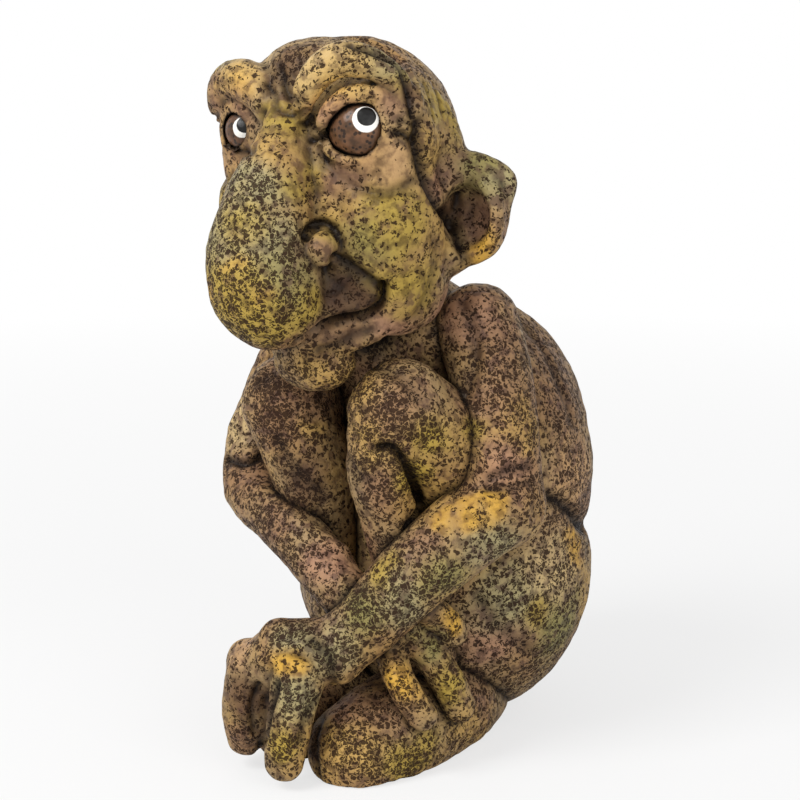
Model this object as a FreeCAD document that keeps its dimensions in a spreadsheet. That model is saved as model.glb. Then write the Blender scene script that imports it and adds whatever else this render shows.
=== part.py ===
import FreeCAD, Part, Sketcher
import math
import os

# A squatting troll that hugs its knees, cast in painted resin and split at the creases between its masses.
# Millimetres, +Z up. The figure faces -Y, so its left side is +X. It stands on its feet and rump at Z 0.
# Each mass is a rounded form, cut by the larger masses that it grows out of.

doc = FreeCAD.newDocument("Troll")
sheet = doc.addObject("Spreadsheet::Sheet", "Sizes")
V = FreeCAD.Vector

# Driving dimensions in millimetres, as plain numbers.
SIZES = {
    # trunk
    "trunk_x": -2.5, "trunk_y": 21.8, "trunk_half_width": 37.5, "trunk_half_depth": 34.0,
    "rump_z": 37.0, "rump_half_height": 39.0, "back_z": 61.0, "back_half_height": 43.0,
    "shoulders_y": 4.5, "shoulders_z": 95.0,
    "shoulders_half_width": 24.0, "shoulders_half_depth": 17.0, "shoulders_half_height": 14.0,
    "neck_y": -2.0, "neck_z": 105.0, "neck_half_width": 14.0, "neck_half_depth": 14.0, "neck_half_height": 15.0,
    # head
    "head_x": -2.5, "head_y": -4.5, "head_z": 139.5,
    "skull_half_width": 20.5, "skull_half_depth": 20.0, "skull_half_height": 25.5,
    "forehead_half_width": 19.0, "forehead_half_depth": 16.0, "forehead_half_height": 15.5,
    "face_half_width": 14.0, "face_half_depth": 13.0, "face_half_height": 22.0,
    "cheek_half_width": 12.0, "cheek_half_depth": 13.5, "cheek_half_height": 14.0,
    "jowl_half_width": 11.5, "jowl_half_depth": 13.5, "jowl_half_height": 13.5,
    "temple_top_radius": 5.5, "temple_foot_radius": 7.5, "temple_swell": 0.4,
    "nose_bridge_radius": 5.5, "nose_bulb_radius": 13.8, "nose_swell": 0.5,
    "nostril_half_width": 3.8, "nostril_half_depth": 4.6, "nostril_half_height": 5.0,
    "eye_socket_half_width": 11.2, "eye_socket_half_depth": 9.5, "eye_socket_half_height": 13.0,
    "brow_radius": 4.6, "brow_arch_radius": 12.0, "right_brow_drop": 4.0,
    "eyeball_radius": 7.5, "lid_thickness": 1.5, "right_eye_drop": 1.0,
    "upper_lip_half_width": 16.5, "upper_lip_half_depth": 10.5, "upper_lip_half_height": 8.0,
    "lower_lip_half_width": 15.5, "lower_lip_half_depth": 9.5, "lower_lip_half_height": 5.5,
    "chin_half_width": 11.0, "chin_half_depth": 8.5, "chin_half_height": 6.5,
    "ear_half_width": 9.0, "ear_half_depth": 4.6, "ear_half_height": 12.0,
    "ear_hollow_half_width": 5.0, "ear_hollow_half_depth": 4.6, "ear_hollow_half_height": 7.5,
    "ear_root_radius": 4.6, "ear_tip_radius": 2.8, "ear_rim_swell": 0.3,
    # swell of each limb at its middle, beyond the mean of its end radii
    "left_upper_arm_swell": 1.0, "left_forearm_swell": 1.4, "left_hand_swell": 0.6,
    "left_first_finger_swell": 0.3, "left_second_finger_swell": 0.4,
    "right_upper_arm_swell": 0.6, "right_forearm_swell": 0.5, "right_hand_swell": 0.6,
    "right_first_finger_swell": 0.3, "right_second_finger_swell": 0.3, "right_third_finger_swell": 0.2,
    "left_thigh_swell": 0.6, "left_shin_swell": 0.4, "left_foot_swell": 2.6,
    "right_thigh_swell": 0.6, "right_shin_swell": 0.4, "right_foot_swell": 2.4,
    # blocks that cut the underside and the waist
    "block_size": 240.0,
}

# Landmarks of the limbs: side (+X is the figure's left), depth (-Y is in front), height and the limb's radius.
LANDMARKS = {
    "left_shoulder": (22.0, 1.5, 98.5, 9.3),
    "left_elbow": (33.5, -4.2, 62.0, 9.3),
    "left_wrist": (8.0, -33.5, 30.0, 7.4),
    "left_knuckles": (-6.0, -39.0, 25.5, 6.8),
    "left_first_knuckle": (4.5, -43.0, 25.5, 5.0),
    "left_first_fingertip": (3.0, -46.0, 4.6, 4.2),
    "left_second_knuckle": (-10.2, -41.0, 24.5, 4.8),
    "left_second_fingertip": (-12.9, -41.0, 6.6, 4.3),
    "right_shoulder": (-26.5, 3.5, 97.0, 9.3),
    "right_elbow": (-35.3, -10.0, 62.5, 7.4),
    "right_wrist": (5.8, -24.5, 46.0, 6.6),
    "right_knuckles": (19.0, -22.0, 32.0, 6.8),
    "right_first_knuckle": (16.5, -22.5, 28.5, 3.8),
    "right_first_fingertip": (23.6, -22.5, 14.5, 3.6),
    "right_second_knuckle": (20.5, -18.5, 32.0, 4.2),
    "right_second_fingertip": (25.6, -11.5, 14.0, 4.2),
    "right_third_knuckle": (21.0, -17.5, 37.5, 3.6),
    "right_third_fingertip": (25.5, -13.0, 33.0, 3.8),
    "left_hip": (20.5, 12.5, 48.0, 16.0),
    "left_knee": (16.0, -19.0, 83.5, 11.8),
    "left_ankle": (12.5, -6.5, 22.0, 8.5),
    "left_toes": (10.0, -27.0, 5.0, 11.5),
    "left_heel": (12.0, 12.5, 8.0, 10.0),
    "right_hip": (-25.5, 12.5, 48.0, 16.0),
    "right_knee": (-18.0, -17.5, 81.5, 10.6),
    "right_ankle": (-10.5, -6.5, 22.0, 8.5),
    "right_toes": (-10.5, -24.5, 5.0, 10.0),
    "right_heel": (-15.5, 12.5, 8.0, 10.0),
}

# Each limb by the landmarks at its ends, with the share of the first landmark's radius that it starts from.
# A limb that goes on from another starts a little thinner, inside the other's rounded end.
LIMBS = {
    "left_upper_arm": ("left_shoulder", "left_elbow", 1.0),
    "left_forearm": ("left_elbow", "left_wrist", 0.94),
    "left_hand": ("left_wrist", "left_knuckles", 0.94),
    "left_first_finger": ("left_first_knuckle", "left_first_fingertip", 1.0),
    "left_second_finger": ("left_second_knuckle", "left_second_fingertip", 1.0),
    "right_upper_arm": ("right_shoulder", "right_elbow", 1.0),
    "right_forearm": ("right_elbow", "right_wrist", 0.94),
    "right_hand": ("right_wrist", "right_knuckles", 0.94),
    "right_first_finger": ("right_first_knuckle", "right_first_fingertip", 1.0),
    "right_second_finger": ("right_second_knuckle", "right_second_fingertip", 1.0),
    "right_third_finger": ("right_third_knuckle", "right_third_fingertip", 1.0),
    "left_thigh": ("left_hip", "left_knee", 1.0),
    "left_shin": ("left_knee", "left_ankle", 0.8),
    "left_foot": ("left_toes", "left_heel", 1.0),
    "right_thigh": ("right_hip", "right_knee", 1.0),
    "right_shin": ("right_knee", "right_ankle", 0.85),
    "right_foot": ("right_toes", "right_heel", 1.0),
}

# Places on the head from its middle, out to the side, back and up, as shares of the skull's three half sizes.
FOREHEAD_SHARES = (0.0, -0.5, 0.35)
FACE_SHARES = (0.0, -0.7, -0.65)
EGG_SHARES = {
    "cheek": (0.805, -0.8, -0.57),
    "jowl": (0.73, -0.6, -1.02),
    "eye_socket": (0.79, -0.93, 0.26),
    "nostril": (0.634, -1.575, -0.745),
}
EYE_SHARES = (0.805, -1.175, 0.205)
BROW_SHARES = (0.75, -1.18, 0.33)
UPPER_LIP_SHARES = (0.0, -1.15, -1.2)
LOWER_LIP_SHARES = (0.02, -1.12, -1.59)
CHIN_SHARES = (0.06, -1.12, -1.77)
EAR_SHARES = (1.40, -0.025, -0.55)
EAR_HOLLOW_SHARES = (1.49, -0.275, -0.55)
EAR_ROOT_SHARES = (1.02, -0.25, -0.14)
EAR_TIP_SHARES = (1.66, 0.05, -0.22)
NOSE_BRIDGE_SHARES = (0.0, -1.33, 0.45)
NOSE_BULB_SHARES = (0.0, -1.875, -1.04)
TEMPLE_TOP_SHARES = (0.86, -0.48, 0.48)
TEMPLE_FOOT_SHARES = (1.03, -0.15, -0.72)

# Directions as shares of one: square to the brow's arch, and from the arch's middle to its inner end.
BROW_SQUARE_SHARES = (-0.355, 0.868, 0.347)
BROW_INNER_SHARES = (-0.907, -0.41, 0.09)
# Angles in degrees.
BROW_SWEEP = 184
UPPER_LID_EDGE = 35
LOWER_LID_EDGE = -38
LID_TILT = 12
EAR_TURN = 14


def fill_sheet():
    """Write each driving dimension and each landmark into the sheet, with its name as the cell's alias."""
    rows = dict(SIZES)
    for name, numbers in LANDMARKS.items():
        for part, number in zip(("x", "y", "z", "radius"), numbers):
            rows[f"{name}_{part}"] = number
    for row, (alias, number) in enumerate(rows.items(), start=1):
        sheet.set(f"A{row}", alias.replace("_", " "))
        sheet.set(f"B{row}", str(number))
        sheet.setAlias(f"B{row}", alias)
    doc.recompute()


def amount(terms):
    """The number that a sum of (share, alias) terms comes to."""
    return sum(share * sheet.get(alias) for share, alias in terms)


def words(terms):
    """A sum of (share, alias) terms as an expression."""
    return "(" + " + ".join(f"{share} * Sizes.{alias}" for share, alias in terms) + ")"


def place_of(station):
    return V(*[amount(terms) for terms in station[:3]])


def landmark(name, share=1.0):
    """A station of a limb: the terms of its place, and of a share of its radius."""
    place = [[(1.0, f"{name}_{axis}")] for axis in "xyz"]
    return (*place, [(share, f"{name}_radius")])


def on_head(shares, side=1, *radius):
    """A station out to one side, back and up from the head's middle, with the alias of its radius."""
    out, back, up = shares
    place = (
        [(1.0, "head_x"), (side * out, "skull_half_width")],
        [(1.0, "head_y"), (back, "skull_half_depth")],
        [(1.0, "head_z"), (up, "skull_half_height")],
    )
    return (*place, *[[(1.0, alias)] for alias in radius])


def put(thing, station, turn=FreeCAD.Rotation()):
    """Turn a form and bind its place to the station's terms."""
    thing.Placement = FreeCAD.Placement(place_of(station), turn)
    for axis, terms in zip("xyz", station):
        thing.setExpression(f"Placement.Base.{axis}", words(terms))


def mass(name, station, turn=FreeCAD.Rotation(), kind=None, girth=None):
    """An egg-shaped mass. Its half sizes carry the name of its kind, and it may share its girth with another."""
    egg = doc.addObject("Part::Ellipsoid", name + "_form")
    kind = kind or name
    egg.setExpression("Radius2", f"Sizes.{girth or kind}_half_width")
    egg.setExpression("Radius3", f"Sizes.{girth or kind}_half_depth")
    egg.setExpression("Radius1", f"Sizes.{kind}_half_height")
    put(egg, station, turn)
    return egg


def side_mass(name, station, side, kind):
    """An egg-shaped mass at one side of the head. One pole points outwards, and the other is cut away inside."""
    egg = doc.addObject("Part::Ellipsoid", name + "_form")
    egg.setExpression("Radius1", f"Sizes.{kind}_half_width")
    egg.setExpression("Radius2", f"Sizes.{kind}_half_height")
    egg.setExpression("Radius3", f"Sizes.{kind}_half_depth")
    put(egg, station, FreeCAD.Rotation(V(0, 1, 0), side * 90))
    return egg


def seam_inward(side, swing):
    """A turn about Z that hides an ear's seam on its inner side, with a swing of the ear's own."""
    return FreeCAD.Rotation(V(0, 0, 1), (180 if side > 0 else 0) + swing)


def gap_between(start, end):
    """The distance between two stations as an expression."""
    squares = [f"({words(first)} - {words(second)}) ^ 2" for first, second in zip(start[:3], end[:3])]
    return "sqrt(" + " + ".join(squares) + ")"


def profile(name, start, end, swell):
    """Half the outline of a roll, from end to end: a quarter arc, a bulging arc, a quarter arc and the axis."""
    length = (place_of(end) - place_of(start)).Length
    near, far = amount(start[3]), amount(end[3])
    middle = V(near / 2 + far / 2 + sheet.get(swell), length / 2, 0)
    across, right = V(0, 0, 1), math.pi / 2
    sketch = doc.addObject("Sketcher::SketchObject", name + "_profile")
    sketch.addGeometry(Part.ArcOfCircle(Part.Circle(V(0, 0, 0), across, near), -right, 0))
    sketch.addGeometry(Part.Arc(V(near, 0, 0), middle, V(far, length, 0)))
    sketch.addGeometry(Part.ArcOfCircle(Part.Circle(V(0, length, 0), across, far), 0, right))
    sketch.addGeometry(Part.LineSegment(V(0, length + far, 0), V(0, -near, 0)))
    sketch.addGeometry(Part.Point(middle), True)
    for first, second in ((0, 1), (1, 2), (2, 3), (3, 0)):
        sketch.addConstraint(Sketcher.Constraint("Coincident", first, 2, second, 1))
    sketch.addConstraint(Sketcher.Constraint("Coincident", 0, 3, -1, 1))
    sketch.addConstraint(Sketcher.Constraint("PointOnObject", 0, 1, -2))
    sketch.addConstraint(Sketcher.Constraint("PointOnObject", 0, 2, -1))
    sketch.addConstraint(Sketcher.Constraint("PointOnObject", 2, 3, -2))
    sketch.addConstraint(Sketcher.Constraint("PointOnObject", 2, 2, -2))
    sketch.addConstraint(Sketcher.Constraint("Horizontal", 2, 1, 2, 3))
    sketch.addConstraint(Sketcher.Constraint("PointOnObject", 4, 1, 1))
    driven = (
        (Sketcher.Constraint("Radius", 0, near), "near", words(start[3])),
        (Sketcher.Constraint("Radius", 2, far), "far", words(end[3])),
        (Sketcher.Constraint("DistanceY", -1, 1, 2, 3, length), "long", gap_between(start, end)),
        (Sketcher.Constraint("DistanceX", -1, 1, 4, 1, middle.x), "belly",
         f"{words(start[3])} / 2 + {words(end[3])} / 2 + Sizes.{swell}"),
        (Sketcher.Constraint("DistanceY", -1, 1, 4, 1, middle.y), "halfway", gap_between(start, end) + " / 2"),
    )
    for constraint, label, text in driven:
        place = sketch.addConstraint(constraint)
        sketch.renameConstraint(place, label)
        sketch.setExpression(f"Constraints.{label}", text)
    return sketch


def roll(name, start, end, swell):
    """A round limb that swells between two rounded ends: its profile turned about the line between them."""
    turned = doc.addObject("Part::Revolution", name + "_form")
    turned.Source = profile(name, start, end, swell)
    turned.Base = V(0, 0, 0)
    turned.Axis = V(0, 1, 0)
    turned.Angle = 360
    turned.Solid = True
    put(turned, start, FreeCAD.Rotation(V(0, 1, 0), place_of(end) - place_of(start)))
    return turned


def boolean(kind, base, tool, name):
    piece = doc.addObject("Part::" + kind, name)
    piece.Base = base
    piece.Tool = tool
    return piece


def block(name, floor):
    """A large block centred over the origin, whose underside lies at the height that an expression gives."""
    cube = doc.addObject("Part::Box", name)
    for side in ("Length", "Width", "Height"):
        cube.setExpression(side, "Sizes.block_size")
    for axis in "xy":
        cube.setExpression(f"Placement.Base.{axis}", "-Sizes.block_size / 2")
    cube.setExpression("Placement.Base.z", floor)
    return cube


def trunk(name, depth=None):
    """The place of a mass on the trunk's middle plane. It may share its depth with another mass."""
    return ([(1.0, "trunk_x")], [(1.0, (depth or name) + "_y")], [(1.0, name + "_z")])


def eye(side):
    """The middle of an eyeball. The right eye sits a little lower."""
    place = on_head(EYE_SHARES, side)
    if side < 0:
        place[2].append((-1.0, "right_eye_drop"))
    return place


def eyeball(name, side):
    ball = doc.addObject("Part::Sphere", name + "_form")
    ball.setExpression("Radius", "Sizes.eyeball_radius")
    put(ball, eye(side))
    return ball


def lid(name, side, ball, low, high):
    """A lid: the cap of a slightly larger ball between two latitudes, hollowed by the eyeball."""
    cap = doc.addObject("Part::Sphere", name + "_cap")
    cap.setExpression("Radius", "Sizes.eyeball_radius + Sizes.lid_thickness")
    cap.Angle1 = low
    cap.Angle2 = high
    put(cap, eye(side), FreeCAD.Rotation(V(1, 0, 0), LID_TILT))
    return boolean("Cut", cap, ball, name + "_form")


def brow(name, side):
    """A brow roll: half a ring that arches over the eye. The right one sits lower."""
    ring = doc.addObject("Part::Torus", name + "_form")
    ring.setExpression("Radius1", "Sizes.brow_arch_radius")
    ring.setExpression("Radius2", "Sizes.brow_radius")
    ring.Angle3 = BROW_SWEEP
    out, back, up = BROW_SQUARE_SHARES
    square = V(side * out, back, up) * side
    out, back, up = BROW_INNER_SHARES
    inner = V(side * out, back, up)
    place = on_head(BROW_SHARES, side)
    if side < 0:
        place[2].append((-1.0, "right_brow_drop"))
    put(ring, place, FreeCAD.Rotation(inner, square.cross(inner), square, "ZXY"))
    return ring


def ear(side_name, side):
    """A cupped ear with a pointed upper tip: a flat shell and a tapering rim, hollowed from the front."""
    turn = seam_inward(side, -side * EAR_TURN)
    shell = mass(side_name + "_ear_shell", on_head(EAR_SHARES, side), turn, "ear")
    root = on_head(EAR_ROOT_SHARES, side, "ear_root_radius")
    tip = on_head(EAR_TIP_SHARES, side, "ear_tip_radius")
    rim = roll(side_name + "_ear_rim", root, tip, "ear_rim_swell")
    whole = boolean("Fuse", shell, rim, side_name + "_ear_whole")
    hollow = mass(side_name + "_ear_hollow", on_head(EAR_HOLLOW_SHARES, side), turn, "ear_hollow")
    return boolean("Cut", whole, hollow, side_name + "_ear_form")


def trunk_forms():
    """The rump and the back, parted at the waist, with the shoulders and the neck.

    Rump and back have one girth, so their surfaces cross in a level line. It parts the distance between their
    middles in the ratio of their half heights.
    """
    crossing = (
        "(Sizes.rump_z * Sizes.back_half_height + Sizes.back_z * Sizes.rump_half_height)"
        " / (Sizes.rump_half_height + Sizes.back_half_height)"
    )
    waist = block("above_waist", crossing)
    ground = block("above_ground", "0 * Sizes.block_size")
    forms = {name: mass(name, trunk(name)) for name in ("shoulders", "neck")}
    rump, back = (mass(name, trunk(name, "trunk"), girth="trunk") for name in ("rump", "back"))
    rump = boolean("Common", rump, ground, "rump_on_ground")
    forms["rump"] = boolean("Cut", rump, waist, "rump_below_waist")
    forms["back"] = boolean("Common", back, waist, "back_above_waist")
    return forms, ground


def head_forms():
    forms = {}
    forms["skull"] = mass("skull", on_head((0, 0, 0)))
    forms["forehead"] = mass("forehead", on_head(FOREHEAD_SHARES))
    forms["face"] = mass("face", on_head(FACE_SHARES))
    bridge = on_head(NOSE_BRIDGE_SHARES, 1, "nose_bridge_radius")
    forms["nose"] = roll("nose", bridge, on_head(NOSE_BULB_SHARES, 1, "nose_bulb_radius"), "nose_swell")
    forms["upper_lip"] = mass("upper_lip", on_head(UPPER_LIP_SHARES))
    forms["lower_lip"] = mass("lower_lip", on_head(LOWER_LIP_SHARES))
    forms["chin"] = mass("chin", on_head(CHIN_SHARES))
    for side_name, side in (("left", 1), ("right", -1)):
        for kind, shares in EGG_SHARES.items():
            name = f"{side_name}_{kind}"
            forms[name] = side_mass(name, on_head(shares, side), side, kind)
        top = on_head(TEMPLE_TOP_SHARES, side, "temple_top_radius")
        foot = on_head(TEMPLE_FOOT_SHARES, side, "temple_foot_radius")
        forms[side_name + "_temple"] = roll(side_name + "_temple", top, foot, "temple_swell")
        forms[side_name + "_brow"] = brow(side_name + "_brow", side)
        ball = eyeball(side_name + "_eyeball", side)
        forms[side_name + "_eyeball"] = ball
        forms[side_name + "_upper_lid"] = lid(side_name + "_upper_lid", side, ball, UPPER_LID_EDGE, 90)
        forms[side_name + "_lower_lid"] = lid(side_name + "_lower_lid", side, ball, -90, LOWER_LID_EDGE)
        forms[side_name + "_ear"] = ear(side_name, side)
    return forms


def limb_forms(ground):
    """The limbs. The feet are flat underneath."""
    forms = {}
    for name, (start, end, share) in LIMBS.items():
        forms[name] = roll(name, landmark(start, share), landmark(end), name + "_swell")
        if "foot" in name:
            forms[name] = boolean("Common", forms[name], ground, name + "_on_ground")
    return forms


EYELIDS = ["SIDE_upper_lid", "SIDE_lower_lid"]
# What cuts each mass: the larger ones that it grows out of or presses against. SIDE stands for left and right.
CUTS = {
    "rump": [],
    "back": [],
    "shoulders": ["back"],
    "skull": [],
    "neck": ["shoulders", "skull"],
    "forehead": ["skull"],
    "face": ["skull", "forehead", "neck"],
    "SIDE_cheek": ["skull", "face"],
    "SIDE_jowl": ["skull", "face", "SIDE_cheek", "neck"],
    "SIDE_temple": ["skull", "forehead", "SIDE_cheek", "SIDE_jowl"],
    "nose": ["forehead", "face"],
    "SIDE_nostril": ["nose", "SIDE_cheek"],
    "SIDE_eyeball": ["forehead", "SIDE_cheek"],
    "SIDE_upper_lid": ["forehead"],
    "SIDE_lower_lid": ["forehead", "SIDE_cheek"],
    "SIDE_eye_socket": ["skull", "forehead", "face", "SIDE_cheek", "SIDE_temple", "SIDE_eyeball"] + EYELIDS,
    "SIDE_brow": ["forehead", "nose", "SIDE_eye_socket", "SIDE_upper_lid"],
    "upper_lip": ["face", "left_jowl", "right_jowl", "nose"],
    "lower_lip": ["face", "nose", "upper_lip"],
    "chin": ["lower_lip"],
    "SIDE_ear": ["skull", "SIDE_temple"],
    "SIDE_upper_arm": ["shoulders", "back"],
    "left_forearm": ["left_upper_arm", "back"],
    "right_forearm": ["right_upper_arm", "back", "left_forearm"],
    "SIDE_thigh": ["rump", "back", "SIDE_upper_arm", "SIDE_forearm"],
    "SIDE_shin": ["SIDE_thigh", "rump", "back", "left_forearm", "right_forearm"],
    "left_foot": ["rump", "left_shin"],
    "right_foot": ["rump", "right_shin", "left_foot"],
    "left_hand": ["left_forearm"],
    "right_hand": ["right_forearm", "left_forearm", "left_shin"],
    "left_first_finger": ["left_hand"],
    "left_second_finger": ["left_hand"],
    "right_first_finger": ["right_hand", "left_foot"],
    "right_second_finger": ["right_hand", "right_first_finger", "left_shin", "left_foot"],
    "right_third_finger": ["right_hand", "right_second_finger", "left_shin", "left_forearm"],
}


def cut_list():
    """The cuts with SIDE written out for both sides."""
    listed = {}
    for name, tools in CUTS.items():
        for side in (("left", "right") if "SIDE" in name else ("",)):
            listed[name.replace("SIDE", side)] = [tool.replace("SIDE", side) for tool in tools]
    return listed


def make_nodes(forms):
    """Cut each mass by its larger neighbours, where they meet, and label the result with the node's name."""
    nodes = {}
    for name, tools in cut_list().items():
        piece = forms[name]
        for tool in tools:
            if forms[name].Shape.BoundBox.intersect(forms[tool].Shape.BoundBox):
                piece = boolean("Cut", piece, forms[tool], f"{name}_less_{tool}")
        piece.Label = name
        nodes[name] = piece
    return nodes


def check(nodes):
    """Stop where an object failed or a shape is empty or invalid."""
    for thing in doc.Objects:
        if "Invalid" in thing.State or "Error" in thing.State:
            raise RuntimeError(f"{thing.Name} failed: {thing.State}")
    for name, piece in nodes.items():
        if piece.Shape.isNull() or not piece.Shape.isValid() or not piece.Shape.Solids:
            raise RuntimeError(f"{name} has no valid solid")


fill_sheet()
forms, ground = trunk_forms()
forms.update(head_forms())
forms.update(limb_forms(ground))
doc.recompute()
nodes = make_nodes(forms)
doc.recompute()
check(nodes)
os.makedirs("parts", exist_ok=True)
for name, piece in nodes.items():
    piece.Shape.exportStep(f"parts/{name}.step")
    print(name, "solids", len(piece.Shape.Solids), "volume", round(piece.Shape.Volume, 1))
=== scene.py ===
# %% [markdown]
# # A squatting troll in Blender
# This file builds the looks of one painted resin troll around its fixed CAD frame. The real figure is
# modelled by hand in clay, then moulded and cast in one piece, then painted in layers: a brown ground, dabs
# of ochre, olive and yellow on whatever stands out, and near-black in every crease and pit. The near-black
# in the creases here is that wash and also painted shade. The cells follow that order: clay, tool marks,
# colours, pieces, materials and light.

# %% The frame
import math

import bpy
import numpy as np
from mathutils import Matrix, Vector


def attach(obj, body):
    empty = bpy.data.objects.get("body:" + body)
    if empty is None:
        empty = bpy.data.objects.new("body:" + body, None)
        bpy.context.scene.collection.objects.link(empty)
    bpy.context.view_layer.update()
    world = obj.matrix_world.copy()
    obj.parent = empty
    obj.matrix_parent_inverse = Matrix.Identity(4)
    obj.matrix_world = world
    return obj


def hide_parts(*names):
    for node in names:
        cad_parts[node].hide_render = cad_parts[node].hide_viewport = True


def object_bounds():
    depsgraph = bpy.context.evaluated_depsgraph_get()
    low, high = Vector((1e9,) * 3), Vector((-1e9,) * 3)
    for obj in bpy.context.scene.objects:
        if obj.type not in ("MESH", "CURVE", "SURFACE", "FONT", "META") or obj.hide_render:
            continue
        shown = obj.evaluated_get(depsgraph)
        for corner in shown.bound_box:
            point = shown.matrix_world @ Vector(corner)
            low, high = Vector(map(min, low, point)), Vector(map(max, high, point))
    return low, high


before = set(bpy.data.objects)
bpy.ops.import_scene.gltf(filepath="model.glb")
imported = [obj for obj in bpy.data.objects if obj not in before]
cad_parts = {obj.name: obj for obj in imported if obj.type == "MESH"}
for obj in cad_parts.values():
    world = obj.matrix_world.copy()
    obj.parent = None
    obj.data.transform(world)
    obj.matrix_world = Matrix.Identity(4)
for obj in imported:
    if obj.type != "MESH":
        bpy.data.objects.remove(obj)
CAD_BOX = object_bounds()
print("CAD box", [[round(c, 4) for c in corner] for corner in CAD_BOX])

# %% [markdown]
# ## The camera as a measuring tool
# The photograph was taken from the figure's front left, a little above it. One camera fits the whole outline,
# so it also tells where a wrinkle seen at a pixel lies on the clay: a ray is sent through the pixel until it
# meets clay. All work is in millimetres until the meshes are made.

# %% Camera place and rays
# The clay's places are given with the figure's middle plane at x = 0, and this takes them to the frame.
SHIFT = np.array([-2.5, 4.5, 0.0])
CAMERA_AT = np.array([277.6, -354.0, 173.0])
CAMERA_TO = np.array([-2.5, 4.5, 80.0])
LENS, SENSOR, FRAME_SIDE = 88.2, 36.0, 800

ahead = (CAMERA_TO - CAMERA_AT) / np.linalg.norm(CAMERA_TO - CAMERA_AT)
right = np.cross(ahead, [0.0, 0.0, 1.0])
right /= np.linalg.norm(right)
above = np.cross(right, ahead)


def rays(pixels):
    """Unit directions through pixels: ahead, plus right and above by the offset over the lens."""
    offset = (np.asarray(pixels, float) - FRAME_SIDE / 2) * SENSOR / (LENS * FRAME_SIDE)
    way = ahead + offset[:, :1] * right - offset[:, 1:] * above
    return way / np.linalg.norm(way, axis=1, keepdims=True)


print("camera distance", round(float(np.linalg.norm(CAMERA_TO - CAMERA_AT))), "mm")

# %% [markdown]
# ## Clay as distance fields
# Cheeks, brows, limbs and folds melt into each other, so no grid of two parameters covers them: the nose
# hangs over the lip, and the ears fork from the head. Each mass is given instead by a formula for the
# distance to its surface. Two distances are melted into one with a soft minimum, and the skin is drawn
# where the distance is nought. Subdivision surfaces would do too, but every blend would need its own ring
# of faces.

# %% Eggs and rolls
# How many straight steps a span of a smooth line gets, in a roll and in a mark.
ROLL_STEPS, MARK_STEPS = 4, 6


def spin(x, y, z):
    """The matrix that turns about X, then Y, then Z, in degrees."""
    (cx, cy, cz), (sx, sy, sz) = np.cos(np.radians([x, y, z])), np.sin(np.radians([x, y, z]))
    about_x = np.array([[1, 0, 0], [0, cx, -sx], [0, sx, cx]])
    about_y = np.array([[cy, 0, sy], [0, 1, 0], [-sy, 0, cy]])
    about_z = np.array([[cz, -sz, 0], [sz, cz, 0], [0, 0, 1]])
    return about_z @ about_y @ about_x


def egg(centre, halves, turn=(0, 0, 0)):
    """An egg: its box and its distance, which is k0 (k0 - 1) / k1. Here k0 is the length of the place over
    the half sizes, and k1 over their squares."""
    centre, halves, turned = np.array(centre) + SHIFT, np.array(halves, float), spin(*turn)

    def distance(places):
        local = ((places - centre) @ turned).astype(np.float32)
        near = np.sqrt(((local / halves) ** 2).sum(-1))
        slope = np.sqrt(((local / halves**2) ** 2).sum(-1))
        return near * (near - 1) / np.maximum(slope, 1e-6)

    reach = np.abs(turned) @ halves
    return centre - reach, centre + reach, distance


def smooth_line(points, steps):
    """A smooth curve through points: on each span, the cubic whose slope at an end is half the way between
    that end's neighbours."""
    points = np.array(points, float)
    if len(points) < 3:
        return points
    places = np.linspace(0, len(points) - 1, (len(points) - 1) * steps + 1)
    span = np.clip(places.astype(int), 0, len(points) - 2)
    t = (places - span)[:, None]
    full = np.vstack([2 * points[0] - points[1], points, 2 * points[-1] - points[-2]])
    a, b, c, d = (full[span + k] for k in range(4))
    return (2 * b + (c - a) * t + (2 * a - 5 * b + 4 * c - d) * t**2 + (3 * b - a - 3 * c + d) * t**3) / 2


def chain_distance(places, line):
    """The distance to a chain of round cones: to each span's nearest point, less the radius there."""
    best = np.full(places.shape[:-1], 1e9, np.float32)
    for start, end in zip(line[:-1], line[1:]):
        along = end[:3] - start[:3]
        off = (places - start[:3]).astype(np.float32)
        share = np.clip(off @ along / max(along @ along, 1e-9), 0, 1)
        off -= share[..., None] * along
        best = np.minimum(best, np.sqrt((off**2).sum(-1)) - (start[3] + share * (end[3] - start[3])))
    return best


def roll(*points):
    """A roll of clay along a smooth line through points, each a place and a radius."""
    line = smooth_line(points, ROLL_STEPS)
    line[:, :3] += SHIFT
    low = (line[:, :3] - line[:, 3:]).min(0)
    high = (line[:, :3] + line[:, 3:]).max(0)
    return low, high, lambda places: chain_distance(places, line)


def both(sign, soft, form, *args):
    """A form and its mirror image across the figure's middle plane, each with its sign and softness."""

    def flip(point):
        return (-point[0], *point[1:])

    if form is roll:
        return [(sign, soft, roll(*args)), (sign, soft, roll(*map(flip, args)))]
    centre, halves, *turns = args
    other = egg(flip(centre), halves, *[(x, -y, -z) for x, y, z in turns])
    return [(sign, soft, egg(*args)), (sign, soft, other)]


print("an egg of half sizes 2, 2, 3 at its own top:", float(egg((0, 0, 0), (2, 2, 3))[2](SHIFT + [0, 0, 3])))

# %% Melting and skinning
# What the distance is taken to be where no form reaches.
FAR = 30.0


def melt(one, other, soft):
    """The soft minimum: the lower of two distances, less a quarter of the soft width where they are equal."""
    if soft <= 0:
        return np.minimum(one, other)
    shared = np.maximum(soft - np.abs(one - other), 0) / soft
    return np.minimum(one, other) - shared * shared * soft / 4


def clay_distance(mass, places):
    """The distance to a mass at free places. A mass is a list of forms, each with its sign and softness."""
    total = np.full(len(places), FAR, np.float32)
    for sign, soft, (low, high, distance) in mass:
        away = distance(places)
        total = melt(total, away, soft) if sign > 0 else -melt(-total, away, soft)
    return total


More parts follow.
